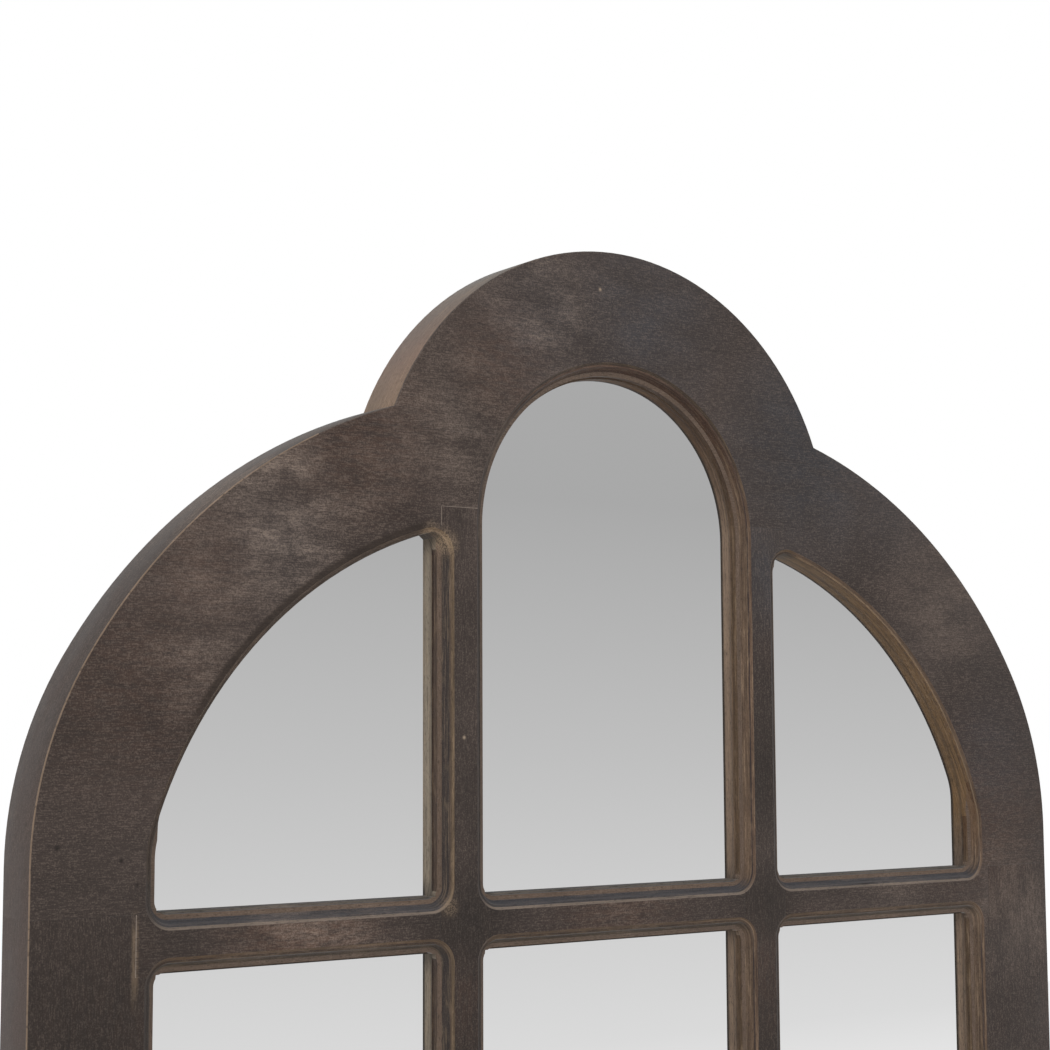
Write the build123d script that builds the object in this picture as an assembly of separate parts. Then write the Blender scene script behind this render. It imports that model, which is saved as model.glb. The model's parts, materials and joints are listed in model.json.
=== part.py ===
# Arched window-pane wall mirror: a routed wooden frame over one mirror sheet.
# Millimetres. +Z up, the mirror faces -Y. The origin lies on the flat back of the frame,
# on its centre line, level with the pivots of the two hanging rings.
from build123d import *
from math import asin, atan2, cos, degrees, pi, sin, sqrt
import os

# Outline of the frame
overall_width = 800.0
overall_height = 1500.0
frame_depth = 38.0
crown_radius = 186.0
crown_rise = 245.0          # centre of the crown's arc above the upper transom's centre line
shoulder_radius = 346.0
shoulder_overhang = 16.0    # how far the shoulder's arc would pass the stile if it weren't eased
shoulder_centre_drop = 16.0  # centre of the shoulder's arc below the upper transom's centre line
shoulder_blend = 230.0      # radius that eases the shoulder into the stile
hang_drop = 90.0            # ring pivots below the upper transom's centre line

# Members, measured on the flat front face between their mouldings
rail_face = 69.0
muntin_face = 20.0
transom_face = 18.0
centre_pane_width = 222.0
shoulder_face = 74.0
pane_arc_shift = 4.5        # inner arc's centre outside the outer one
pane_arc_blend = 55.0
pane_facet = 4.5            # small facet at the top corner of each side pane
shoulder_trim_share = 0.4   # how much of its overhang past the stile the shoulder's moulding is trimmed by
lower_rows = 3
transom_names = ("upper", "middle", "lower")

# Routed moulding round every pane, from the pane's wall outwards
ledge_width = 1.3
cove_radius = 5.4
cove_flats = 3              # flats that make up the hollow
fillet_width = 1.3
ledge_depth = 11.0
quirk_depth = 1.2
worn_width = 1.6            # bevel that wear has put on the face's edge
bearing_radius = 6.35       # corners are as round as the router's bearing

# Joints
lap_length = 15.0
crown_joint_drop = 12.5     # crown to shoulder joint below the notch
stub_length = 8.0
stub_thickness = 8.0
stub_shoulder = 5.0         # wood left above and below a stub
rail_tenon_length = 30.0
rail_tenon_thickness = 12.0
tenon_shoulder = 10.0       # wood left above and below a tenon
joint_clearance = 0.1
dowel_radius = 5.0
dowel_length = 60.0
dowel_edge = 24.0           # outer dowel in from the frame's edge
dowel_pitch = 22.0

# Mirror, packing and back
glass_set_back = 21.0
rebate_width = 10.0
glass_thickness = 4.0
panel_thickness = 6.0
sheet_clearance = 0.5

# Turn buttons that hold the back panel in
button_length = 30.0
button_width = 13.0
button_thickness = 1.6
button_play = 0.1
button_set_out = 9.0        # pivot outside the rebate's edge
button_screw_radius = 1.75
button_head_radius = 3.8
button_head_height = 2.0
button_screw_depth = 15.0
slot_width = 1.0
slot_depth = 0.8
button_above_foot = 130.0   # lowest stile button above the foot of the frame
button_below_strap = 110.0  # highest stile button below the hanging strap
pivot_clearance = 0.08
screw_clearance = 0.05

# Hanging straps and their rings
strap_width = 16.0
strap_length = 52.0
strap_thickness = 1.5
strap_set_in = 36.0         # middle of the strap from the stile's outer edge
ring_wire_radius = 1.5
ring_wire_sides = 12
ring_height = 21.0          # pivot to the middle of the wire at the ring's bow
ring_corner = 3.0
ring_side_gap = 0.6
loop_lift = 0.3             # underside of the loop above the frame's back
strap_hole_shares = (0.28, 0.78)
strap_screw_radius = 1.6
strap_head_radius = 3.2
strap_screw_depth = 18.0

# Felt wall bumpers
bumper_radius = 7.0
bumper_thickness = 5.0
bumper_set_in = 24.0

overrun = 3.0               # how far every cut runs past what it cuts

half_width = overall_width / 2
transom_z = hang_drop
crown_z = transom_z + crown_rise
shoulder_z = transom_z - shoulder_centre_drop
shoulder_centre_x = half_width + shoulder_overhang - shoulder_radius
pane_arc_centre_x = shoulder_centre_x + pane_arc_shift
top_z = crown_z + crown_radius
bottom_z = top_z - overall_height
moulding = ledge_width + cove_radius + fillet_width
rail_blank = rail_face + moulding
centre_wall = centre_pane_width / 2 - moulding
muntin_inner = centre_wall
muntin_outer = centre_pane_width / 2 + muntin_face + moulding
stile_wall = half_width - rail_blank
transom_half = transom_face / 2 + moulding
row_height = (transom_z - bottom_z - rail_face - transom_face * (lower_rows - 0.5)) / lower_rows
row_pitch = row_height + transom_face
transom_levels = [transom_z - row_pitch * row for row in range(lower_rows)]
rail_top = bottom_z + rail_blank
stile_top = transom_z + transom_half
glass_inset = rail_blank - rebate_width
half_lap = glass_set_back / 2
pane_wall_radius = shoulder_radius - shoulder_face - moulding
pane_corner_z = shoulder_z + sqrt(pane_wall_radius**2 - (muntin_outer - pane_arc_centre_x)**2)
shoulder_trim = shoulder_trim_share * (pane_arc_centre_x + pane_wall_radius - stile_wall)
muntin_top = pane_corner_z + lap_length


# Drawing helpers: faces are drawn as (x, z) and stood up in the frame's back plane
def slab(face, front, back):
    """A face given thickness, from one depth behind the front to another."""
    return extrude(Plane.XZ.offset(frame_depth - back) * face, amount=back - front)


def block(x0, x1, z0, z1, front=0.0, back=frame_depth):
    corner = Rectangle(x1 - x0, z1 - z0, align=(Align.MIN, Align.MIN))
    return slab(Pos(x0, z0) * corner, front, back)


def ease(line_x, centre_x, centre_z, radius, blend):
    """Centre height and turn of the arc that eases an upright at line_x into a larger arc."""
    across = line_x - blend - centre_x
    height = centre_z + sqrt((radius - blend)**2 - across**2)
    return height, degrees(atan2(height - centre_z, across))


def notch(inset):
    """Where the crown's arc meets the shoulder's arc, both moved inwards by inset."""
    crown = crown_radius - inset
    rise = crown_z - shoulder_z
    span = sqrt(shoulder_centre_x**2 + rise**2)
    along = (crown**2 - (shoulder_radius - inset)**2 + span**2) / (2 * span)
    out = sqrt(crown**2 - along**2)
    return (shoulder_centre_x * along + rise * out) / span, crown_z - (rise * along - shoulder_centre_x * out) / span


def outline(inset):
    """The frame's outline, moved inwards by inset all round."""
    side = half_width - inset
    arc = shoulder_radius - inset
    blend = shoulder_blend - inset
    crown = crown_radius - inset
    foot = bottom_z + inset
    ease_z, ease_turn = ease(side, shoulder_centre_x, shoulder_z, arc, blend)
    notch_x, notch_z = notch(inset)
    notch_turn = degrees(atan2(notch_z - shoulder_z, notch_x - shoulder_centre_x))
    crown_turn = degrees(asin((notch_z - crown_z) / crown))
    right = [
        Line((side, foot), (side, ease_z)),
        CenterArc((side - blend, ease_z), blend, 0, ease_turn),
        CenterArc((shoulder_centre_x, shoulder_z), arc, ease_turn, notch_turn - ease_turn),
    ]
    left = [mirror(edge, Plane.YZ) for edge in right]
    crown_arc = CenterArc((0, crown_z), crown, crown_turn, 180 - 2 * crown_turn)
    return make_face([Line((-side, foot), (side, foot)), crown_arc] + right + left)


def side_pane(trim):
    """Line round the right-hand upper pane, its arc moved inwards by trim."""
    radius = pane_wall_radius - trim
    blend = pane_arc_blend - moulding
    ease_z, ease_turn = ease(stile_wall, pane_arc_centre_x, shoulder_z, radius, blend)
    corner_z = shoulder_z + sqrt(radius**2 - (muntin_outer - pane_arc_centre_x)**2)
    corner_turn = degrees(atan2(corner_z - shoulder_z, muntin_outer - pane_arc_centre_x))
    return make_face([
        Line((muntin_outer, stile_top), (stile_wall, stile_top)),
        Line((stile_wall, stile_top), (stile_wall, ease_z)),
        CenterArc((stile_wall - blend, ease_z), blend, 0, ease_turn),
        CenterArc((pane_arc_centre_x, shoulder_z), radius, ease_turn, corner_turn - ease_turn),
        Line((muntin_outer, corner_z), (muntin_outer, stile_top)),
    ])


def centre_pane():
    """Wall line of the tall arched pane."""
    return make_face([
        Line((-centre_wall, stile_top), (centre_wall, stile_top)),
        Line((centre_wall, stile_top), (centre_wall, crown_z)),
        CenterArc((0, crown_z), centre_wall, 0, 180),
        Line((-centre_wall, crown_z), (-centre_wall, stile_top)),
    ])


def low_pane(x0, x1, row):
    top = transom_levels[row] - transom_half
    low = rail_top if row == lower_rows - 1 else transom_levels[row + 1] + transom_half
    return Pos(x0, low) * Rectangle(x1 - x0, top - low, align=(Align.MIN, Align.MIN))


def corners_of(face, upper_z=None):
    """The sharp corners of a wall line: all its vertices that lie on a square end."""
    box = face.bounding_box()
    found = [v for v in face.vertices() if abs(v.Y - box.min.Y) < joint_clearance]
    top = box.max.Y if upper_z is None else upper_z
    return found + [v for v in face.vertices() if abs(v.Y - top) < joint_clearance]


def corner_height(face):
    """Height of the top corner at the muntin, the highest vertex of a side pane's line."""
    return max(v.Y for v in face.vertices() if abs(v.X - muntin_outer) < joint_clearance)


def moulding_cut(path):
    """The router's cut, carried once round a pane."""
    start = path @ 0
    ahead = path % 0
    out = ahead.cross(Vector(0, 1, 0))
    if out.dot(start - path.center()) < 0:
        out = -out
    inner = -bearing_radius / 2
    cove_x = ledge_width + cove_radius
    cove_z = quirk_depth + cove_radius
    turns = [pi / 2 * step / cove_flats for step in range(cove_flats + 1)]
    hollow = [(ledge_width + cove_radius * cos(turn), quirk_depth + cove_radius * sin(turn)) for turn in turns]
    shape = make_face([
        Polyline((inner, -overrun), (inner, ledge_depth), (ledge_width, ledge_depth), (ledge_width, cove_z)),
        Polyline(hollow),
        Polyline((cove_x, quirk_depth), (moulding, quirk_depth), (moulding + worn_width, 0),
                 (moulding + worn_width, -overrun), (inner, -overrun)),
    ])
    section = Plane(origin=start, x_dir=out, z_dir=out.cross(Vector(0, 1, 0))) * shape
    return sweep(section, path=path)


def pane_cuts(face, upper_z=None, facet=0.0, routed=None):
    """All that is cut away for one pane: the square opening and the moulding carried round it."""
    line = face if routed is None else routed
    line_top = upper_z if routed is None else corner_height(routed)
    rounded = fillet(corners_of(line, line_top), bearing_radius)
    path = (Plane.XZ.offset(frame_depth) * rounded).wire()
    opening = face
    if facet:
        opening = chamfer([v for v in face.vertices() if abs(v.Y - upper_z) < joint_clearance], facet)
    return [slab(opening, -overrun, glass_set_back + overrun), moulding_cut(path)]


def upright(x, z, radius, length):
    """A round bar standing in the middle of the frame's depth."""
    return Pos(x, -frame_depth / 2, z) * Cylinder(radius, length)


def level_bar(x, z, radius, front, back):
    """A round bar along Y between two depths."""
    return slab(Pos(x, z) * Circle(radius), front, back)


def mirrored(shapes):
    return [mirror(shape, Plane.YZ) for shape in shapes]


nodes = {}


def add_pair(name, right):
    """A right-hand piece and its mirror image."""
    nodes[f"right_{name}"] = right
    nodes[f"left_{name}"] = mirror(right, Plane.YZ)


# Cuts that several members share
frame_face = outline(0)
notch_x, notch_z = notch(0)
crown_joint = notch_z - crown_joint_drop
pocket = slab(outline(glass_inset), glass_set_back, frame_depth + overrun)
side_cuts = pane_cuts(side_pane(0), pane_corner_z, pane_facet, side_pane(shoulder_trim))
centre_cuts = pane_cuts(centre_pane())
side_low_cuts = [pane_cuts(low_pane(muntin_outer, stile_wall, row)) for row in range(lower_rows)]
centre_low_cuts = [pane_cuts(low_pane(-centre_wall, centre_wall, row)) for row in range(lower_rows)]
all_side_low = sum(side_low_cuts, [])
all_centre_low = sum(centre_low_cuts, [])

# Dowels in the joints of the shoulders with the stiles and with the crown
dowel_places = [(end - dowel_edge - dowel_pitch * step, level)
                for end, level in ((half_width, stile_top), (notch_x, crown_joint)) for step in (0, 1)]
dowel_holes = [upright(x, z, dowel_radius + joint_clearance, dowel_length + 2 * joint_clearance)
               for x, z in dowel_places]
dowels = [upright(x, z, dowel_radius, dowel_length) for x, z in dowel_places]
nodes["frame_dowels"] = Compound(children=dowels + mirrored(dowels))

# Places of the turn buttons: pivot x and z, and the angle at which each points at the panel
panel_edge = half_width - glass_inset
button_x = panel_edge + button_set_out
button_high = -strap_length - button_below_strap
button_low = bottom_z + button_above_foot
button_levels = {"low": button_low, "middle": (button_low + button_high) / 2, "high": button_high}
button_places = {"crown": (0.0, crown_z + crown_radius - glass_inset + button_set_out, -90)}
button_places["rail"] = (0.0, bottom_z + glass_inset - button_set_out, 90)
for level, z in button_levels.items():
    button_places[f"right_{level}"] = (button_x, z, 180)
    button_places[f"left_{level}"] = (-button_x, z, 0)
button_holes = {place: level_bar(x, z, button_screw_radius + screw_clearance,
                                 frame_depth - button_screw_depth - joint_clearance, frame_depth + overrun)
                for place, (x, z, turn) in button_places.items()}

# Places of the hanging straps' screws on the right-hand stile
strap_x = half_width - strap_set_in
strap_screw_levels = [-strap_length * share for share in strap_hole_shares]
strap_holes = [level_bar(strap_x, z, strap_screw_radius + screw_clearance,
                         frame_depth - strap_screw_depth - joint_clearance, frame_depth + overrun)
               for z in strap_screw_levels]

# Stiles, with half laps for the transoms and a mortise for the bottom rail
stile = block(stile_wall, half_width, bottom_z, stile_top)
stile_laps = [block(stile_wall - overrun, stile_wall + lap_length, z - transom_half, z + transom_half,
                    -overrun, half_lap) for z in transom_levels]


def rail_tenon(clearance):
    reach = stile_wall + rail_tenon_length + clearance
    low = bottom_z + tenon_shoulder - clearance
    high = bottom_z + rail_face - tenon_shoulder + clearance
    half = rail_tenon_thickness / 2 + clearance
    return block(stile_wall - overrun, reach, low, high, frame_depth / 2 - half, frame_depth / 2 + half)


stile_holes = dowel_holes[:2] + strap_holes + [button_holes[f"right_{level}"] for level in button_levels]
add_pair("stile", stile - [pocket, rail_tenon(joint_clearance)] - stile_laps - stile_holes
         - side_cuts - all_side_low)

# Shoulders, each with a half lap for the top of its muntin
shoulder = slab(frame_face, 0, frame_depth) & block(0, half_width, stile_top, crown_joint)
muntin_bay = block(-overrun, muntin_outer, stile_top - overrun, pane_corner_z, -overrun, frame_depth + overrun)
muntin_lap = block(muntin_inner - overrun, muntin_outer, pane_corner_z - overrun, muntin_top, -overrun, half_lap)
add_pair("shoulder", shoulder - [pocket, muntin_bay, muntin_lap] - dowel_holes - side_cuts - centre_cuts)

# Crown
crown = slab(frame_face, 0, frame_depth) & block(-half_width, half_width, crown_joint, top_z + overrun)
crown_holes = dowel_holes[2:] + mirrored(dowel_holes[2:]) + [button_holes["crown"]]
nodes["crown"] = crown - pocket - crown_holes - centre_cuts

# Bottom rail, tenoned into the stiles and lapped by the muntins
rail = block(-stile_wall, stile_wall, bottom_z, rail_top)
rail_laps = [block(muntin_inner, muntin_outer, rail_top - lap_length, rail_top + overrun, -overrun, half_lap)]
low_cuts = side_low_cuts[-1] + mirrored(side_low_cuts[-1]) + centre_low_cuts[-1]
rail = rail + rail_tenon(0) + mirror(rail_tenon(0), Plane.YZ)
nodes["bottom_rail"] = rail - [pocket, button_holes["rail"]] - rail_laps - mirrored(rail_laps) - low_cuts


# Transoms: three lengths to a row, stub-tenoned into the muntins and lapped into the stiles
def stub(x0, x1, z, clearance):
    half = stub_thickness / 2 + clearance
    rise = transom_half - stub_shoulder + clearance
    return block(x0, x1, z - rise, z + rise, half_lap - half, half_lap + half)


def transom_side(z, cuts):
    bar = block(muntin_outer, stile_wall, z - transom_half, z + transom_half, 0, glass_set_back)
    tongue = block(stile_wall, stile_wall + lap_length, z - transom_half, z + transom_half, 0, half_lap)
    return bar + tongue + stub(muntin_outer - stub_length, muntin_outer, z, 0) - cuts


def transom_centre(z, cuts):
    bar = block(-muntin_inner, muntin_inner, z - transom_half, z + transom_half, 0, glass_set_back)
    reach = muntin_inner + stub_length
    return bar + stub(-reach, reach, z, 0) - cuts


for row, z in enumerate(transom_levels):
    level = transom_names[row] if row < len(transom_names) else f"row_{row + 1}"
    side_above = side_cuts if row == 0 else side_low_cuts[row - 1]
    centre_above = centre_cuts if row == 0 else centre_low_cuts[row - 1]
    add_pair(f"{level}_transom", transom_side(z, side_above + side_low_cuts[row]))
    nodes[f"centre_{level}_transom"] = transom_centre(z, centre_above + centre_low_cuts[row])

# Muntins, in one length from the bottom rail to the shoulder
muntin = block(muntin_inner, muntin_outer, rail_top, pane_corner_z, 0, glass_set_back)
muntin += block(muntin_inner, muntin_outer, rail_top - lap_length, muntin_top, 0, half_lap)
stub_reach = stub_length + joint_clearance
stub_mortises = [stub(x0, x1, z, joint_clearance) for z in transom_levels for x0, x1 in
                 ((muntin_inner - overrun, muntin_inner + stub_reach),
                  (muntin_outer - stub_reach, muntin_outer + overrun))]
add_pair("muntin", muntin - stub_mortises - side_cuts - centre_cuts - all_side_low - all_centre_low)

# Mirror sheet, packing board and back panel fill the rebate
sheet = outline(glass_inset + sheet_clearance)
glass_back = glass_set_back + glass_thickness
panel_front = frame_depth - panel_thickness
nodes["mirror_sheet"] = slab(sheet, glass_set_back, glass_back)
nodes["packing_board"] = slab(sheet, glass_back, panel_front)
nodes["back_panel"] = slab(sheet, panel_front, frame_depth)


# Turn buttons on slotted pan-head screws
def turn_button(x, z, turn):
    plate = Pos((button_length - button_width) / 2, 0) * SlotCenterToCenter(button_length - button_width,
                                                                            button_width)
    plate -= Circle(button_screw_radius + pivot_clearance)
    under = frame_depth + button_play
    return slab(Pos(x, z) * Rot(0, 0, turn) * plate, under, under + button_thickness)


def button_screw(x, z, turn):
    under = frame_depth + 2 * button_play + button_thickness
    top = under + button_head_height
    shank = level_bar(x, z, button_screw_radius, frame_depth - button_screw_depth, under + slot_depth)
    slot = slab(Pos(x, z) * Rot(0, 0, turn + 45) * Rectangle(2 * button_head_radius + overrun, slot_width),
                top - slot_depth, top + overrun)
    return shank + level_bar(x, z, button_head_radius, under, top) - slot


for place, (x, z, turn) in button_places.items():
    nodes[f"{place}_turn_button"] = turn_button(x, z, turn)
nodes["turn_button_screws"] = Compound(children=[button_screw(*place) for place in button_places.values()])

# Hanging straps: a plate folded into a loop, with a D-ring hanging in it
loop_bore = ring_wire_radius + pivot_clearance
loop_radius = loop_bore + strap_thickness
pivot_y = loop_lift + loop_radius
strap_end = Pos(strap_x, -strap_length + strap_width / 2) * Circle(strap_width / 2)
strap_plate = Pos(strap_x, -strap_length + strap_width / 2) * Rectangle(
    strap_width, strap_length - strap_width / 2, align=(Align.CENTER, Align.MIN))


def cross_bar(radius, length):
    return Pos(strap_x, pivot_y, 0) * Rot(0, 90, 0) * Cylinder(radius, length)


def countersunk(z, grow, length):
    """A countersunk screw, flush with the strap, or its hole when grown by a clearance."""
    cone = Cone(strap_screw_radius + grow, strap_head_radius + grow, strap_thickness,
                align=(Align.CENTER, Align.CENTER, Align.MIN))
    shank = level_bar(strap_x, z, strap_screw_radius + grow, frame_depth - length, frame_depth + strap_thickness / 2)
    return Pos(strap_x, 0, z) * Rot(-90, 0, 0) * cone + shank


strap = slab(strap_plate + strap_end, frame_depth, frame_depth + strap_thickness)
strap += cross_bar(loop_radius, strap_width)
strap -= cross_bar(loop_bore, strap_width + overrun)
strap -= [countersunk(z, screw_clearance, strap_screw_depth) for z in strap_screw_levels]
add_pair("hanging_strap", strap)

ring_half = strap_width / 2 + ring_side_gap + ring_corner
bow_z = ring_half - ring_height
ring_path = Wire([
    Line((ring_corner - ring_half, 0), (ring_half - ring_corner, 0)),
    CenterArc((ring_half - ring_corner, -ring_corner), ring_corner, 0, 90),
    Line((ring_half, -ring_corner), (ring_half, bow_z)),
    CenterArc((0, bow_z), ring_half, 180, 180),
    Line((-ring_half, bow_z), (-ring_half, -ring_corner)),
    CenterArc((ring_corner - ring_half, -ring_corner), ring_corner, 90, 90),
])
ring_wire = Plane((0, 0), x_dir=(0, 1, 0), z_dir=(1, 0, 0)) * RegularPolygon(ring_wire_radius, ring_wire_sides)
ring = Plane.XZ * sweep(ring_wire, path=ring_path)
add_pair("d_ring", Pos(strap_x, pivot_y, 0) * ring)

strap_screws = [countersunk(z, 0, strap_screw_depth) for z in strap_screw_levels]
nodes["strap_screws"] = Compound(children=strap_screws + mirrored(strap_screws))

# Felt bumpers keep the foot of the frame off the wall
bumper = level_bar(half_width - bumper_set_in, bottom_z + bumper_set_in, bumper_radius,
                   frame_depth, frame_depth + bumper_thickness)
add_pair("wall_bumper", bumper)

os.makedirs("parts", exist_ok=True)
for name, shape in nodes.items():
    export_step(shape, f"parts/{name}.step")
print(len(nodes), "nodes, pane rows", round(row_height, 1), "mm high")
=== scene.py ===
import json
from math import atan2, cos, pi, radians, sin, sqrt, tan

import bpy
import numpy as np
from mathutils import Matrix, Vector

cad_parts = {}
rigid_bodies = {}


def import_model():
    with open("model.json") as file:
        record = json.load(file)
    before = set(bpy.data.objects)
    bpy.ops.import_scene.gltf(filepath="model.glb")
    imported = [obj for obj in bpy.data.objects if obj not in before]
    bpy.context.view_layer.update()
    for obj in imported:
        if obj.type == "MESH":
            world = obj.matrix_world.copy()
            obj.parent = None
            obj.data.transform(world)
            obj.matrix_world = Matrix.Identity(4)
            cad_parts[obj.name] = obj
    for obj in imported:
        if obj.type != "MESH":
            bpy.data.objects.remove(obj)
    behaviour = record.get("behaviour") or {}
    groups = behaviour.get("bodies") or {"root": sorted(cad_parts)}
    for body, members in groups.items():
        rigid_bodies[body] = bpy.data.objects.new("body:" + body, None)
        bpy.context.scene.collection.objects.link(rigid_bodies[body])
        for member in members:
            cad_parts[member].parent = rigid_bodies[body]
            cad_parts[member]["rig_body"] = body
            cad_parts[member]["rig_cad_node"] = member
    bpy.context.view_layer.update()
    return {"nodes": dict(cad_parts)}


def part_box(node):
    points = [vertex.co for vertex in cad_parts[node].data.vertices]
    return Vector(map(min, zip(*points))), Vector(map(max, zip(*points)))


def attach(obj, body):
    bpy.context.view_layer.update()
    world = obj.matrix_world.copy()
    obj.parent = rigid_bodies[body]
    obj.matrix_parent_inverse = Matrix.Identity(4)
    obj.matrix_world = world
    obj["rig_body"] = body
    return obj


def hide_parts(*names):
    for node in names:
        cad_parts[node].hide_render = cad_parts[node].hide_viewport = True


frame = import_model()


def linear(hexColour):  # sRGB hex to the linear values that shaders take
    channels = [int(hexColour[i:i + 2], 16) / 255 for i in (1, 3, 5)]
    return [c / 12.92 if c <= 0.04045 else ((c + 0.055) / 1.055) ** 2.4 for c in channels] + [1.0]


def newMaterial(name):
    material = bpy.data.materials.new(name)
    material.use_nodes = True
    material.node_tree.nodes.clear()
    return material


def addNode(material, kind, values=(), output=0, **settings):
    # values fill the inputs in order, or by name or number; settings are the node's own properties
    node = material.node_tree.nodes.new("ShaderNode" + kind)
    for key, value in settings.items():
        setattr(node, key, value)
    for key, value in values.items() if isinstance(values, dict) else enumerate(values):
        if isinstance(value, bpy.types.NodeSocket):
            material.node_tree.links.new(value, node.inputs[key])
        else:
            node.inputs[key].default_value = value
    return node.outputs[output] if node.outputs else None


# The camera stands to the left of the mirror and looks slightly up at its crown
cameraSettings = {
    "place": (-0.8282, -1.1088, 0.2052),  # metres
    "turn": 0.6123, "tilt": 0.0999, "roll": -0.0045,  # radians
    "lens": 71.36, "sensor": 36.0, "nearest": 0.01,
}


def placeCamera(s):
    turn, tilt, roll = s["turn"], s["tilt"], s["roll"]
    ahead = Vector((sin(turn) * cos(tilt), cos(turn) * cos(tilt), sin(tilt)))
    right = Vector((cos(turn), -sin(turn), 0))
    up = right.cross(ahead)
    rolledRight = right * cos(roll) + up * sin(roll)
    rolledUp = up * cos(roll) - right * sin(roll)
    bpy.ops.object.camera_add(location=s["place"])
    camera = bpy.context.object
    turned = Matrix((rolledRight, rolledUp, -ahead)).transposed().to_4x4()
    camera.matrix_world = Matrix.Translation(s["place"]) @ turned
    camera.data.lens = s["lens"]
    camera.data.sensor_width = s["sensor"]
    camera.data.clip_start = s["nearest"]
    bpy.context.scene.camera = camera


placeCamera(cameraSettings)
print("camera placed")

# Pale floor under the mirror's foot, white surroundings, soft lamps and a graded card for the glass to reflect
stageSettings = {
    "floorSize": 14.0, "floorColour": "#efefee", "floorGlow": 0.42,
    "worldColour": "#ffffff", "worldFill": 0.50,
    "cardY": -3.2, "cardWidth": 12.0, "cardHeight": 6.0,
    "cardLow": -0.98, "cardHigh": 0.80,  # heights between which the card darkens
    "cardTones": ((0.0, "#fcfcfc"), (1.0, "#acacac"), (0.2303, "#dedede"), (0.6348, "#c3c3c3")),
}
lampSettings = {
    "keyLamp": {"place": (-2.6, -2.4, 2.2), "target": (0, 0, 0), "size": 2.2, "watts": 95},
    "fillLamp": {"place": (2.6, -2.8, 0.8), "target": (0, 0, -0.2), "size": 2.4, "watts": 30},
    "backLamp": {"place": (-1.2, 3.0, 1.6), "target": (0, 0, -0.2), "size": 2.4, "watts": 45},
}


def makeWorld(s):
    world = bpy.data.worlds.new("studioSurroundings")
    bpy.context.scene.world = world
    world.use_nodes = True
    world.node_tree.nodes.clear()
    path = addNode(world, "LightPath").node.outputs
    seen = addNode(world, "Math", (path["Is Camera Ray"], path["Is Glossy Ray"]), operation="MAXIMUM")
    seen = addNode(world, "Math", (seen, path["Is Transmission Ray"]), operation="MAXIMUM")
    strength = addNode(world, "MapRange", {"Value": seen, "To Min": s["worldFill"]})
    sky = addNode(world, "Background", (linear(s["worldColour"]), strength))
    addNode(world, "OutputWorld", (sky,))


def makeFloor(s):
    bpy.ops.mesh.primitive_plane_add(size=s["floorSize"], location=(0, 0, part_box("bottom_rail")[0].z))
    floor = bpy.context.object
    floor.name = "studioFloor"
    paint = newMaterial("mattPaintRolledFloor")  # matt and pale, shown to the camera a little brighter than it lights
    path = addNode(paint, "LightPath").node.outputs
    matt = addNode(paint, "BsdfDiffuse", (linear(s["floorColour"]),))
    shown = addNode(paint, "Math", (path["Is Camera Ray"], path["Is Glossy Ray"]), operation="MAXIMUM")
    level = addNode(paint, "Math", (shown, s["floorGlow"]), operation="MULTIPLY")
    glow = addNode(paint, "Emission", (linear(s["worldColour"]), level))
    both = addNode(paint, "AddShader", (matt, glow))
    addNode(paint, "OutputMaterial", (both,))
    floor.data.materials.append(paint)


def makeCard(s):
    bpy.ops.mesh.primitive_plane_add(size=1, location=(0, s["cardY"], 0), rotation=(pi / 2, 0, 0))
    card = bpy.context.object
    card.name = "gradedCard"
    card.scale = (s["cardWidth"], s["cardHeight"], 1)
    bpy.ops.object.transform_apply(location=True, rotation=True, scale=True)
    tone = newMaterial("gradedStudioCard")  # an even grey that pales towards the floor, seen only in the glass
    place = addNode(tone, "TexCoord", output="Object")
    height = addNode(tone, "SeparateXYZ", (place,), "Z")
    rise = addNode(tone, "MapRange", (height, s["cardLow"], s["cardHigh"]))
    ramp = addNode(tone, "ValToRGB", (rise,))
    stops = ramp.node.color_ramp.elements
    for i, (position, colour) in enumerate(s["cardTones"]):
        stop = stops[i] if i < len(stops) else stops.new(position)
        stop.position, stop.color = position, linear(colour)
    light = addNode(tone, "Emission", (ramp,))
    addNode(tone, "OutputMaterial", (light,))
    card.data.materials.append(tone)
    card.visible_camera = False
    card.visible_diffuse = False
    card.visible_shadow = False


def addLamp(name, s):
    bpy.ops.object.light_add(type="AREA", location=s["place"])
    lamp = bpy.context.object
    lamp.name = name
    lamp.data.shape = "DISK"
    lamp.data.size = s["size"]
    lamp.data.energy = s["watts"]
    lamp.rotation_euler = (Vector(s["target"]) - Vector(s["place"])).to_track_quat("-Z", "Y").to_euler()
    lamp.visible_glossy = False


makeWorld(stageSettings)
makeFloor(stageSettings)
makeCard(stageSettings)
for lampName, lamp in lampSettings.items():
    addLamp(lampName, lamp)
print("stage and lamps set")

# Sizes of the wooden frame in millimetres, as it was built
woodSizes = {
    "halfWidth": 400.0, "foot": -979.0,
    "crownRadius": 186.0, "crownZ": 335.0,
    "shoulderRadius": 346.0, "shoulderX": 70.0, "shoulderZ": 74.0, "shoulderBlend": 230.0,
    "stileWall": 323.0, "muntinInner": 103.0, "muntinOuter": 139.0,
    "transomHalf": 17.0, "transoms": (90.0, -246.333, -582.667), "railTop": -902.0,
    "paneArcRadius": 264.0, "paneArcX": 74.5, "paneArcBlend": 47.0, "paneArcTrim": 6.2,
    "muntinTop": 345.0, "lap": 15.0,
    "bearing": 6.35, "moulding": 9.6,
    "arcEnd": 0.04,  # radians that the side panes' arc stops short of its corner, where the facet is
    "cornerSteps": 7, "crownSteps": 60, "shoulderSteps": 60, "blendSteps": 40, "paneSteps": 50, "paneBlendSteps": 16,
}


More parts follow.
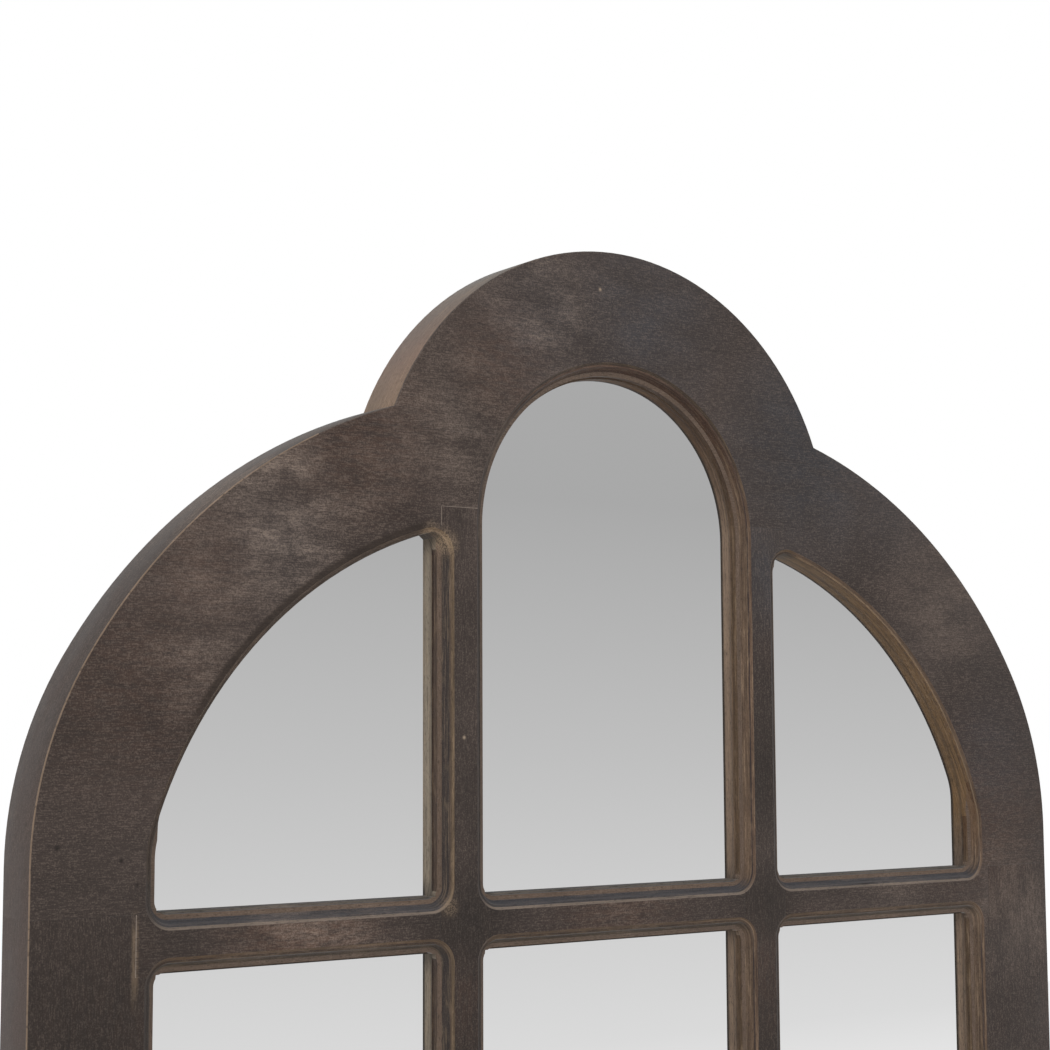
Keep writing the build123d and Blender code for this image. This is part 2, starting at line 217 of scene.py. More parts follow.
def arcPoints(centreX, centreZ, radius, start, end, count):
    turns = np.linspace(start, end, count)
    return [(centreX + radius * cos(t), centreZ + radius * sin(t)) for t in turns]


def easedTurn(lineX, centreX, centreZ, radius, blend):  # where an arc meets the smaller one that eases it into a line
    across = lineX - blend - centreX
    height = centreZ + sqrt((radius - blend) ** 2 - across ** 2)
    return height, atan2(height - centreZ, across)


def frameOutline(s):
    rise = s["crownZ"] - s["shoulderZ"]
    span = sqrt(s["shoulderX"] ** 2 + rise ** 2)
    along = (s["crownRadius"] ** 2 - s["shoulderRadius"] ** 2 + span ** 2) / (2 * span)
    out = sqrt(s["crownRadius"] ** 2 - along ** 2)
    notchX = (s["shoulderX"] * along + rise * out) / span
    notchZ = s["crownZ"] - (rise * along - s["shoulderX"] * out) / span
    easeZ, easeTurn = easedTurn(s["halfWidth"], s["shoulderX"], s["shoulderZ"], s["shoulderRadius"],
                                s["shoulderBlend"])
    notchTurn = atan2(notchZ - s["shoulderZ"], notchX - s["shoulderX"])
    crownTurn = atan2(notchZ - s["crownZ"], notchX)
    right = [(0.0, s["foot"]), (s["halfWidth"], s["foot"])]
    right += arcPoints(s["halfWidth"] - s["shoulderBlend"], easeZ, s["shoulderBlend"], 0, easeTurn, s["blendSteps"])
    right += arcPoints(s["shoulderX"], s["shoulderZ"], s["shoulderRadius"], easeTurn, notchTurn,
                       s["shoulderSteps"])[1:]
    right += arcPoints(0, s["crownZ"], s["crownRadius"], crownTurn, pi / 2, s["crownSteps"])[1:]
    return np.array(right + [(-x, z) for x, z in right[-2:0:-1]])


def roundedPath(points, corners, radius):
    found = []
    for i, point in enumerate(points):
        here = np.array(point)
        if i not in corners or not radius:
            found.append(here)
            continue
        before = here - points[i - 1]
        after = np.array(points[(i + 1) % len(points)]) - here
        before, after = before / np.linalg.norm(before), after / np.linalg.norm(after)
        turn = np.arccos(np.clip(before @ after, -1, 1))
        cut = radius * tan(turn / 2)
        centre = here - before * cut + radius * np.array((-before[1], before[0]))
        first = here - before * cut - centre
        for step in np.linspace(0, turn, woodSizes["cornerSteps"]):
            found.append(centre + np.array((first[0] * cos(step) - first[1] * sin(step),
                                            first[0] * sin(step) + first[1] * cos(step))))
    return np.array(found)


def paneLines(s, bearing, trim):  # the walls of the twelve panes, or the router's path round them
    floors = [z + s["transomHalf"] for z in s["transoms"]] + [s["railTop"]]
    roofs = [z - s["transomHalf"] for z in s["transoms"]]
    paths = []
    columns = ((-s["stileWall"], -s["muntinOuter"]), (-s["muntinInner"], s["muntinInner"]),
               (s["muntinOuter"], s["stileWall"]))
    for row, roof in enumerate(roofs):
        for left, right in columns:
            box = [(left, floors[row + 1]), (right, floors[row + 1]), (right, roof), (left, roof)]
            paths.append(roundedPath(box, (0, 1, 2, 3), bearing))
    centre = [(-s["muntinInner"], floors[0]), (s["muntinInner"], floors[0])]
    centre += arcPoints(0, s["crownZ"], s["muntinInner"], 0, pi, s["crownSteps"])
    paths.append(roundedPath(centre, (0, 1), bearing))
    radius = s["paneArcRadius"] - trim
    easeZ, easeTurn = easedTurn(s["stileWall"], s["paneArcX"], s["shoulderZ"], radius, s["paneArcBlend"])
    cornerZ = s["shoulderZ"] + sqrt(radius ** 2 - (s["muntinOuter"] - s["paneArcX"]) ** 2)
    cornerTurn = atan2(cornerZ - s["shoulderZ"], s["muntinOuter"] - s["paneArcX"])
    side = [(s["muntinOuter"], floors[0]), (s["stileWall"], floors[0])]
    side += arcPoints(s["stileWall"] - s["paneArcBlend"], easeZ, s["paneArcBlend"], 0, easeTurn, s["paneBlendSteps"])
    side += arcPoints(s["paneArcX"], s["shoulderZ"], radius, easeTurn, cornerTurn - s["arcEnd"], s["paneSteps"])[1:]
    side.append((s["muntinOuter"], cornerZ))
    rightSide = roundedPath(side, (0, 1, len(side) - 1), bearing)
    return paths + [rightSide, rightSide[::-1] * (-1, 1)]


def nearestOn(path, places):
    # for many places at once: distance to a closed path, length along it, its whole length and its outward side
    runs = np.roll(path, -1, axis=0) - path
    lengths = np.maximum(np.linalg.norm(runs, axis=1), 1e-9)
    starts = np.concatenate([[0], np.cumsum(lengths)[:-1]])
    share = np.clip(np.einsum("nmk,mk->nm", places[:, None] - path[None], runs) / lengths ** 2, 0, 1)
    gaps = np.linalg.norm(path[None] + share[..., None] * runs[None] - places[:, None], axis=2)
    best = gaps.argmin(1)
    rows = np.arange(len(places))
    outward = np.stack([runs[best, 1], -runs[best, 0]], axis=1) / lengths[best, None]
    return gaps[rows, best], starts[best] + share[rows, best] * lengths[best], lengths.sum(), outward


outlinePath = frameOutline(woodSizes)
wallPaths = paneLines(woodSizes, 0, 0)
routedPaths = paneLines(woodSizes, woodSizes["bearing"], woodSizes["paneArcTrim"])

meshLimits = {"weld": 0.00002, "cut": 0.00001, "sliver": 0.000002, "flatAngle": radians(0.6)}  # metres


def onlySelect(piece):
    bpy.ops.object.select_all(action="DESELECT")
    piece.select_set(True)
    bpy.context.view_layer.objects.active = piece


def weldedCopy(nodeName):
    source = frame["nodes"][nodeName]
    piece = source.copy()
    piece.data = source.data.copy()
    piece.parent = None
    piece.name = nodeName + "_finished"
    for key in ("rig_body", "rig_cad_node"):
        if key in piece:
            del piece[key]
    bpy.context.scene.collection.objects.link(piece)
    onlySelect(piece)
    bpy.ops.mesh.customdata_custom_splitnormals_clear()
    bpy.ops.object.mode_set(mode="EDIT")
    bpy.ops.mesh.select_all(action="SELECT")
    bpy.ops.mesh.remove_doubles(threshold=meshLimits["weld"])
    bpy.ops.mesh.dissolve_limited(angle_limit=meshLimits["flatAngle"])
    bpy.ops.object.mode_set(mode="OBJECT")
    return piece


def edgeFaces(mesh):
    found = [[] for _ in mesh.edges]
    for polygon in mesh.polygons:
        for loop in polygon.loop_indices:
            found[mesh.loops[loop].edge_index].append(polygon.index)
    return found


def bevelEdges(piece, chosen, width, segments=2):
    if not len(chosen):
        return
    for group in (piece.data.polygons, piece.data.vertices, piece.data.edges):
        for item in group:
            item.select = False
    for index in chosen:
        piece.data.edges[index].select = True
    onlySelect(piece)
    bpy.ops.object.mode_set(mode="EDIT")
    bpy.ops.mesh.select_mode(type="EDGE")
    bpy.ops.mesh.bevel(offset=width, segments=segments, affect="EDGES", clamp_overlap=True)
    bpy.ops.object.mode_set(mode="OBJECT")


def splitBroadFaces(piece):  # faces with more than four corners become even triangles, and slivers close up
    onlySelect(piece)
    bpy.ops.object.mode_set(mode="EDIT")
    bpy.ops.mesh.select_mode(type="FACE")
    bpy.ops.mesh.select_all(action="DESELECT")
    bpy.ops.mesh.select_face_by_sides(number=4, type="GREATER")
    bpy.ops.mesh.quads_convert_to_tris(ngon_method="BEAUTY")
    bpy.ops.mesh.select_all(action="SELECT")
    bpy.ops.mesh.dissolve_degenerate(threshold=meshLimits["sliver"])
    bpy.ops.object.mode_set(mode="OBJECT")


# What tells the surfaces of a member apart: depths behind the front plane and distances in millimetres, and how far
# a face's normal leans towards the wall
faceLimits = {
    "glass": -16.5, "behindFront": -37.95, "front": -37.9, "seam": -37.0, "back": -0.1,
    "ledge": -30.0, "fillet": -36.0, "edge": -36.7,
    "upright": 0.25, "level": 0.9, "square": 0.98, "sideLean": 0.2,
    "beyondMoulding": 0.5, "onWall": 0.5, "onSide": 0.3, "onArris": 2.0,
}


def sortFaces(mesh):
    # names the surface that each face belongs to, by its place and the way it faces
    s = faceLimits
    centres = np.zeros(len(mesh.polygons) * 3)
    mesh.polygons.foreach_get("center", centres)
    normals = np.zeros(len(mesh.polygons) * 3)
    mesh.polygons.foreach_get("normal", normals)
    centres, lean = centres.reshape(-1, 3) * 1000, normals.reshape(-1, 3)[:, 1]
    flat, depth = centres[:, (0, 2)], centres[:, 1]
    outer = nearestOn(outlinePath, flat)[0]
    wall = np.min([nearestOn(path, flat)[0] for path in wallPaths], axis=0)
    routed = np.min([nearestOn(path, flat)[0] for path in routedPaths], axis=0)
    near = (routed < woodSizes["moulding"] + s["beyondMoulding"]) & (depth < s["glass"]) & (depth > s["behindFront"])
    slanting = near & (lean <= -s["upright"]) & (lean >= -s["level"])
    kinds = np.full(len(centres), "joint", dtype=object)
    kinds[~near & (abs(lean) < s["square"]) & (depth < s["seam"])] = "seam"
    kinds[near & (abs(lean) < s["upright"])] = "riser"
    kinds[near & (abs(lean) < s["upright"]) & (wall < s["onWall"])] = "wall"
    kinds[near & (lean < -s["level"]) & (depth > s["ledge"])] = "ledge"
    kinds[near & (lean < -s["level"]) & (depth < s["fillet"])] = "fillet"
    kinds[slanting & (depth < s["ledge"])] = "cove"
    kinds[slanting & (depth < s["edge"])] = "edge"
    kinds[(outer < s["onSide"]) & (abs(lean) < s["sideLean"])] = "side"
    kinds[(outer < s["onArris"]) & (abs(lean) >= s["sideLean"]) & (abs(lean) < s["square"])] = "arris"
    kinds[(lean < -s["square"]) & (depth < s["front"])] = "front"
    kinds[(lean > s["square"]) & (depth > s["back"])] = "back"
    return kinds


# Tones of the routed surfaces by where they stand: right of their pane on the mirror's left half and on its right half,
# on the right and the left shoulder's arc, above the pane, left of it, below it and round the crown's arch. The wash
# settled dark in the hollow and handling left the edges paler; over that, light and shade are painted in: walls that
# face the lamps at the left are painted pale, faces turned away and down are in painted shade, and faces turned up take
# a painted cool grey
routedTones = {
    "wall": ("#857a6b", "#7b6858", "#644d33", "#2c2622", "#3a3029", "#332e2c", "#3a3836", "#472f18"),
    "ledge": ("#3a2c23", "#7a6450", "#3a2a1b", "#2c2622", "#34281f", "#332e2c", "#77716a", "#5b4735"),
    "riser": ("#45372e", "#52402f", "#493320", "#2c2622", "#2f251c", "#312c2a", "#423f3e", "#3a2617"),
    "cove": ("#342e2c", "#574639", "#584331", "#2c2622", "#33291f", "#302c2b", "#343438", "#342014"),
    "fillet": ("#4d4036", "#352a28", "#6b5844", "#332a24", "#3d3128", "#352f2c", "#403e40", "#45332a"),
    "edge": ("#5a4b3b", "#5a473a", "#524134", "#3d3026", "#4c3b2b", "#38302d", "#6c6158", "#34291f"),
}
streakShares = (0.45, 0.6, 0.25, 0.2, 0.28, 0.08, 0.12, 0.2)  # how strongly each of these places is streaked with tan, most on the walls facing the lamps, where the tan is partly a painted highlight
# The arris is a pale worn edge with a painted highlight where it faces the lamps at the left; on the crown and the
# right half it stays soft and dark
outerTones = {"arris": "#736253", "softArris": "#463e3a", "lapSeam": "#80746a",
              "joint": "#5a4b40", "back": "#5b5047", "front": "#4a413d", "seam": "#4a413d"}
sideTones = {"flank": "#453b37", "top": "#312b28"}  # the outer side where it stands upright and where it faces up
crownSideTones = {"low": "#736050", "middle": "#705c51", "high": "#5b5752"}  # tan at the notch, grey at the top
# Where tones change, in millimetres, with the shares that go with them
toneSettings = {
    "edgeStreaks": 1.1,  # how much stronger the streaks are on the rubbed edge
    "crownArch": (335.0, 415.0),  # heights between which the arch's own tones take over
    "sideLevels": ((74.0, 1.0), (200.0, 0.8), (300.0, 0.8), (370.0, 0.97)),  # the side darkens at these heights by this
    "crownSideHeights": (404.0, 440.0, 500.0), "crownSideReach": 180.0, "crownSideStreaks": 0.45,
    "softArrisFrom": 385.0,
    "darkFrom": 75.0, "darkTo": 40.0, "darkShare": 0.62,  # the routed surfaces of the panes under the upper transom are darker
    "arcFrom": 125.0, "arcBeside": 12.0,
    "lapGap": 1.5, "lapBelow": 17.0,
    "pathStep": 0.37,  # metres between the grain of one pane and the next
}


def mixTones(colours, weights):
    parts = [np.array(linear(c)[:3])[None] * w[:, None] for c, w in zip(colours, weights)]
    return np.sum(parts, axis=0)


def isLap(x, z):  # the laps whose edges show pale: the transoms' ends and the muntins' tops
    s, t = woodSizes, toneSettings
    top = abs(z - s["muntinTop"]) < t["lapGap"]
    besideTop = z > s["muntinTop"] - t["lapBelow"] and abs(abs(x) - s["muntinOuter"]) < t["lapGap"]
    return top or besideTop or abs(abs(x) - s["stileWall"] - s["lap"]) < t["lapGap"]


def cutAcross(piece, axis, places):  # divides the faces at these places in millimetres, so a tone can change there
    onlySelect(piece)
    bpy.ops.object.mode_set(mode="EDIT")
    for place in places:
        bpy.ops.mesh.select_all(action="SELECT")
        spot, normal = [0, 0, 0], [0, 0, 0]
        spot[axis], normal[axis] = place / 1000, 1
        bpy.ops.mesh.bisect(plane_co=spot, plane_no=normal, threshold=meshLimits["cut"])
    bpy.ops.object.mode_set(mode="OBJECT")


def routedTone(kind, x, z, side, s):  # the tone and the share of tan streaks at each corner of a routed face
    right, head, left, foot = [np.clip(part, 0, 1) ** 2 for part in (side[:, 0], side[:, 1], -side[:, 0], -side[:, 1])]
    arc = (z > s["arcFrom"]) * (abs(x) > woodSizes["muntinOuter"] + s["arcBeside"])
    plain = 1 - arc
    start, end = s["crownArch"]
    arch = np.clip((z - start) / (end - start), 0, 1) * (abs(x) < woodSizes["muntinOuter"])
    below = plain * (1 - arch)
    # each face's weights follow the way it turns, which gives it its painted light and shade
    weights = [right * below * (x < 0), right * below * (x >= 0), (right + head) * arc * (x > 0),
               (left + head) * arc * (x < 0), head * below, left * plain, foot, (right + head) * plain * arch]
    dark = np.clip((s["darkFrom"] - z) / (s["darkFrom"] - s["darkTo"]), 0, 1)[:, None]
    tone = mixTones(routedTones[kind], weights) * (1 - dark * (1 - s["darkShare"]))
    tanned = np.sum([w * share for w, share in zip(weights, streakShares)], axis=0)
    return tone, tanned * (s["edgeStreaks"] if kind == "edge" else 1)


def outerTone(kind, x, z, side, s):  # the same for a corner of any other face
    tanned = np.zeros(len(x))
    if kind == "side" and z.mean() > s["crownSideHeights"][0] and abs(x.mean()) < s["crownSideReach"]:
        shares = [np.interp(z, s["crownSideHeights"], row) for row in np.eye(3)]
        return mixTones(crownSideTones.values(), shares), tanned + s["crownSideStreaks"]
    if kind == "side":
        upright = np.stack([abs(side[:, 0]), abs(side[:, 1])]) ** 2
        return mixTones(sideTones.values(), upright) * np.interp(z, *zip(*s["sideLevels"]))[:, None], tanned
    # the arris is painted pale, as wear and a highlight, only below the crown on the left half
    name = "softArris" if kind == "arris" and (z.mean() > s["softArrisFrom"] or x.mean() > 0) else kind
    return np.repeat(np.array(linear(outerTones[name])[:3])[None], len(x), axis=0), tanned


def paintTones(piece, acrossX, s):
    # a map in metres with u along the grain or the router's path, and the tone of every corner
    mesh = piece.data
    kinds = sortFaces(mesh)
    places = np.zeros(len(mesh.vertices) * 3)
    mesh.vertices.foreach_get("co", places)
    places = places.reshape(-1, 3)
    flat = places[:, (0, 2)] * 1000
    outerGap, outerRun, outerLength, outerSides = nearestOn(outlinePath, flat)
    finds = [nearestOn(path, flat) for path in routedPaths]
    gaps = np.array([f[0] for f in finds])
    mesh.uv_layers.new(name="grain")
    mesh.color_attributes.new("tone", "FLOAT_COLOR", "CORNER")
    for name in ("streaked", "flatFace"):
        mesh.attributes.new(name, "FLOAT", "FACE")
    grain, tones = mesh.uv_layers["grain"], mesh.color_attributes["tone"]  # found again once all are made
    streaked, flats = mesh.attributes["streaked"], mesh.attributes["flatFace"]
    for polygon in mesh.polygons:
        kind = kinds[polygon.index]
        loops = list(polygon.loop_indices)
        corners = [mesh.loops[i].vertex_index for i in loops]
        x, z = flat[corners, 0], flat[corners, 1]
        if kind == "seam" and isLap(x.mean(), z.mean()) and x.mean() < 0:
            kind = "lapSeam"
        whole = None
        if kind in routedTones:
            path = int(gaps[:, corners].sum(1).argmin())
            along, whole = finds[path][1][corners] / 1000, finds[path][2] / 1000
            across = places[corners, 1] - gaps[path, corners] / 1000 + path * s["pathStep"]
            tone, tanned = routedTone(kind, x, z, finds[path][3][corners], s)
        else:
            if kind in ("side", "arris"):
                along, whole = outerRun[corners] / 1000, outerLength / 1000
                across = places[corners, 1] + outerGap[corners] / 1000
            else:
                along = places[corners, 0 if acrossX else 2]
                across = places[corners, 2 if acrossX else 0]
            tone, tanned = outerTone(kind, x, z, outerSides[corners], s)
        if whole and along.max() - along.min() > whole / 2:
            along = np.where(along < whole / 2, along + whole, along)
        streaked.data[polygon.index].value = kind in routedTones
        flats.data[polygon.index].value = kind in ("front", "seam")
        for loop, u, v, colour, share in zip(loops, along, across, tone, tanned):
            grain.data[loop].uv = (u, v)
            tones.data[loop].color = (*colour, share)


frontPlane = -0.038  # the wood's front face, in metres

# A step names the node it adds, its settings, the inputs that its values fill and the output that it gives:
# ease brings a value smoothly from one range to another, mix covers one colour with another by a share
stepKinds = {
    "ease": ("MapRange", {"interpolation_type": "SMOOTHSTEP"}, (0, 1, 2, 3, 4), 0),
    "mix": ("Mix", {"data_type": "RGBA"}, (0, 6, 7), 2),
}
for operation in ("multiply", "multiply_add", "add", "maximum"):
    stepKinds[operation] = ("Math", {"operation": operation.upper(), "use_clamp": True}, (0, 1, 2), 0)


def addSteps(material, found, steps):  # a name among a step's values stands for what was found under it before
    for name, (step, *values) in steps.items():
        kind, settings, inputs, output = stepKinds[step]
        values = [found[value] if isinstance(value, str) else value for value in values]
        found[name] = addNode(material, kind, dict(zip(inputs, values)), output, **settings)


def addPatterns(material, found, patterns):  # noise by its map, sizes in millimetres, detail, roughness and offset
    for name, (vector, sizesMm, detail, roughness, offset) in patterns.items():
        spread = addNode(material, "Mapping", {"Vector": found[vector], "Location": offset,
                                               "Scale": [1000 / mm for mm in sizesMm]})
        found[name] = addNode(material, "TexNoise", {"Vector": spread, "Scale": 1.0, "Detail": detail,
                                                     "Roughness": roughness})


def addZones(material, found, zones):  # soft places on the front: x, z and radius in millimetres, and strength
    for name, spots in zones.items():
        total = None
        for x, z, radius, strength in spots:
            gap = addNode(material, "VectorMath", (found["place"], (x / 1000, frontPlane, z / 1000)), "Value",
                          operation="DISTANCE")
            fade = addNode(material, "MapRange", (gap, 0.0, radius / 1000, strength, 0.0),
                           interpolation_type="SMOOTHSTEP")
            total = fade if total is None else addNode(material, "Math", (total, fade), operation="MAXIMUM")
        found[name] = total


# The stained wood: hardwood planed flat, washed nearly black-brown, then waxed and rubbed back.
# It gives the eye a dull brown-black with soft clouds, pale worn places and a fine open grain
woodColours = {
    "dark": "#312926", "middle": "#403733", "light": "#87786d", "tan": "#8f7a63", "deep": "#292320",
    "poreDark": "#221d1b", "contactShadowDark": "#14110f", "shadeBandDark": "#2a221d", "warmBrown": "#4d392f", "coolGrey": "#36383d",
    "holeDark": "#1f1a18", "fillerPale": "#8d7d6c",
}
# Real pores and fibres are about 0.25 mm wide: they are drawn about three times as coarse, so that they show
woodPatterns = {
    "pore":("place", (0.8, 0.8, 0.8), 1.5, 0.6, (0, 0, 0)),
    "pit": ("grain", (3.4, 0.75, 50.0), 2.0, 0.6, (11, 4, 2)),
    "fibre": ("grain", (6.0, 0.8, 50.0), 2.0, 0.55, (0, 0, 0)),
    "streak": ("grain", (50.0, 1.5, 50.0), 4.0, 0.65, (3, 7, 1)),
    "blot": ("grain", (14.0, 3.0, 50.0), 3.0, 0.6, (8, 2, 5)),
    "cloud": ("place", (150.0, 150.0, 150.0), 3.0, 0.55, (0, 0, 0)),
    "patch": ("grain", (46.0, 20.0, 50.0), 5.0, 0.6, (5, 1, 9)),
}
woodZones = {
    "wornZones": [(-250, 330, 120, 0.62), (-251, 342, 60, 1.0), (-130, 395, 80, 0.50), (-60, 470, 75, 0.5),
                  (300, 300, 90, 0.32), (372, 75, 80, 0.40), (-225, 92, 80, 0.55), (240, 96, 50, 0.25),
                  (-300, 250, 60, 0.35), (10, 90, 60, 0.25)],
    "coolZones": [(165, 400, 115, 0.9), (20, 480, 110, 0.6), (119, 315, 60, 0.7), (235, 385, 90, 0.5),
                  (345, 190, 70, 0.4), (-60, 470, 70, 0.5), (-250, 320, 60, 0.25)],
    "deepZones": [(-121, 90, 62, 1.0), (121, 90, 55, 0.9), (-121, 170, 75, 0.5), (121, 180, 85, 0.9),
                  (-121, 260, 80, 0.45), (-372, 30, 170, 0.95), (-370, -170, 160, 0.7), (-370, 215, 80, 0.35),
                  (-121, -20, 140, 1.0), (121, -20, 140, 0.9), (-330, 120, 70, 0.4), (150, 385, 80, 0.35)],
    "warmZones": [(-200, 385, 90, 0.4), (-345, 230, 90, 0.35), (-350, 20, 100, 0.7), (330, 150, 110, 0.35),
                  (-300, 300, 60, 0.3), (-121, 20, 90, 0.6), (121, 20, 90, 0.6), (0, 90, 80, 0.4),
                  (-235, 90, 80, 0.8), (-90, 440, 60, 0.4)],
    # the tan spots at the moulding's corners are a painted highlight
    "tanSpots": [(-136, 322, 13, 0.9), (-146, 328, 10, 0.6), (144, 322, 8, 0.6), (156, 319, 8, 0.4),
                 (-133, 101, 9, 0.4)],
    "nailHoles": [(-384.6, 145, 2.6, 1.6), (-347.4, 136.8, 2.4, 1.6), (-337.8, 123.3, 2.0, 1.5)],
    "fillerMarks": [(-122.4, 203, 1.8, 1.4), (-15, 495, 1.8, 1.3)],
}
# Distances in metres; across, inward and height are the place's own x, y and z
woodSteps = {
    # The flat front: clouds of wash, then warm, bluish and dark places
    "clouds": ("ease", "cloud", 0.35, 0.65),
    "washed": ("mix", "clouds", "dark", "middle"),
    "warmBlots": ("ease", "blot", 0.35, 0.62, 0.3, 1.3),
    "warm": ("multiply", "warmZones", "warmBlots"),
    "warmed": ("mix", "warm", "washed", "warmBrown"),
    "coolPatches": ("ease", "patch", 0.3, 0.7, 0.5, 1.0),
    "cool": ("multiply", "coolZones", "coolPatches"),
    "cooled": ("mix", "cool", "warmed", "coolGrey"),
    "face": ("mix", "deepZones", "cooled", "deep"),
    # A painted shade band on the face beside the left shoulder's moulding, widening the moulding's shaded side
    "bandInside": ("ease", "fromArc", 0.2634, 0.2654, 0.0, 0.8),
    "bandOutside": ("ease", "fromArc", 0.2729, 0.2696, 0.0, "bandInside"),
    "bandRise": ("ease", "height", 0.19, 0.23, 0.0, "bandOutside"),
    "band": ("ease", "across", -0.145, -0.155, 0.0, "bandRise"),
    # It is rubbed through along the left upper transom's lap
    "lapLeft": ("ease", "across", -0.3417, -0.3385),
    "lapRight": ("ease", "across", -0.3353, -0.3385, 0.0, "lapLeft"),
    "lapFoot": ("ease", "height", 0.05, 0.075, 0.0, "lapRight"),
    "lapHead": ("ease", "height", 0.114, 0.094, 0.0, "lapFoot"),
    "lapBlots": ("ease", "blot", 0.35, 0.6, 0.147, 0.42),
    "rubbed": ("multiply", "lapHead", "lapBlots"),
    # The routed surfaces: their own tone with its painted light and shade, streaked along the router's path, with a
    # painted contact shadow darkest against the glass
    "paleStreaks": ("ease", "streak", 0.50, 0.64, 0.0, 0.55),
    "paleBlots": ("ease", "blot", 0.52, 0.66, 0.0, 0.45),
    "paleMarks": ("add", "paleStreaks", "paleBlots"),
    "paler": ("multiply", "paleMarks", "tanned"),
    "streakedTone": ("mix", "paler", "tone", "tan"),
    "darkStreaks": ("ease", "streak", 0.47, 0.33, 0.0, 0.45),
    "darkBlots": ("ease", "blot", 0.46, 0.34, 0.0, 0.3),
    "darker": ("add", "darkStreaks", "darkBlots"),
    "darkened": ("mix", "darker", "streakedTone", "deep"),
    "brinkFront": ("ease", "inward", -0.0282, -0.0272, 0.0, 0.4),
    "brink": ("ease", "inward", -0.0232, -0.0265, 0.0, "brinkFront"),
    "brinked": ("mix", "brink", "darkened", "deep"),
    # A painted contact shadow darkens the routed walls against the glass, lighter on the left muntin's outer wall
    "leftContactShadow": ("ease", "across", -0.137, -0.12, 0.2, 0.9),
    "mostContactShadow": ("ease", "height", 0.107, 0.119, 0.9, "leftContactShadow"),
    "contactShadow": ("ease", "inward", -0.0200, -0.0184, 0.0, "mostContactShadow"),
    "routed": ("mix", "contactShadow", "brinked", "contactShadowDark"),
    "shade": ("ease", "inward", -0.032, -0.004, 0.0, 0.28),
    "outside": ("mix", "shade", "streakedTone", "deep"),
    "sides": ("mix", "streaked", "outside", "routed"),
    "all": ("mix", "flatFace", "sides", "face"),
    # Painted highlights at the moulding's corners, and the front rubbed through along the lap, both in tan
    "spotPores": ("ease", "pore", 0.38, 0.6, 0.2, 1.0),
    "spots": ("multiply", "tanSpots", "spotPores"),
    "rubbedFront": ("multiply", "rubbed", "flatFace"),
    "tanShare": ("maximum", "spots", "rubbedFront"),
    "spotted": ("mix", "tanShare", "all", "tan"),
    # Pale specks where the wax rubbed the wash off the grain's ridges, thicker in the worn places
    "wornPatches": ("ease", "patch", 0.36, 0.62, 0.2, 1.2),
    "wornBroadly": ("multiply", "wornZones", "wornPatches"),
    "wornBlots": ("ease", "blot", 0.3, 0.7, 0.6, 1.35),
    "worn": ("multiply", "wornBroadly", "wornBlots"),
    "fibreRidge": ("multiply", "fibre", 0.45),
    "ridge": ("multiply_add", "pore", 0.55, "fibreRidge"),
    "ridgeFrom": ("multiply_add", "worn", -0.08, 0.455),
    "ridgeTo": ("add", "ridgeFrom", 0.2),
    "speckGain": ("multiply_add", "worn", 0.3, 0.24),
    "specks": ("ease", "ridge", "ridgeFrom", "ridgeTo", 0.0, "speckGain"),
    "fewerRouted": ("ease", "streaked", 0.0, 1.0, 1.0, 0.6),
    "fewerDeep": ("ease", "deepZones", 0.0, 1.0, 1.0, 0.6),
    "speckPlaces": ("multiply", "specks", "fewerRouted"),
    "speckShare": ("multiply", "speckPlaces", "fewerDeep"),
    "wornShare": ("multiply", "worn", 0.2),
    "wornThin": ("mix", "wornShare", "spotted", "light"),
    "specked": ("mix", "speckShare", "wornThin", "light"),
    # Dark open pores, the painted shade band, and the nail holes and their filler
    "pits": ("ease", "pit", 0.46, 0.33, 0.0, 0.5),
    "pitted": ("mix", "pits", "specked", "poreDark"),
    "shadeBandShare": ("multiply", "band", "flatFace"),
    "shadeBanded": ("mix", "shadeBandShare", "pitted", "shadeBandDark"),
    "holeShare": ("multiply", "nailHoles", 0.6),
    "holed": ("mix", "holeShare", "shadeBanded", "holeDark"),
    "fillerShare": ("multiply", "fillerMarks", 0.8),
    "colour": ("mix", "fillerShare", "holed", "fillerPale"),
    # How the colour, the height of the grain and the gloss vary
    "patchLevel": ("ease", "patch", 0.25, 0.75, 0.86, 1.12),
    "streakLevel": ("ease", "streak", 0.2, 0.8, -0.12, 0.12),
    "fibreHeight": ("multiply", "fibre", 0.5),
    "grainHeight": ("multiply_add", "streak", 0.5, "fibreHeight"),
    "rough": ("ease", "patch", 0.2, 0.8, 0.52, 0.70),
}
woodFinish = {
    "colours": woodColours, "patterns": woodPatterns, "zones": woodZones, "steps": woodSteps,
    "arcCentre": (-0.0745, frontPlane, 0.074), "bump": 0.3, "bumpDepth": 0.0005, "specular": 0.22,
}


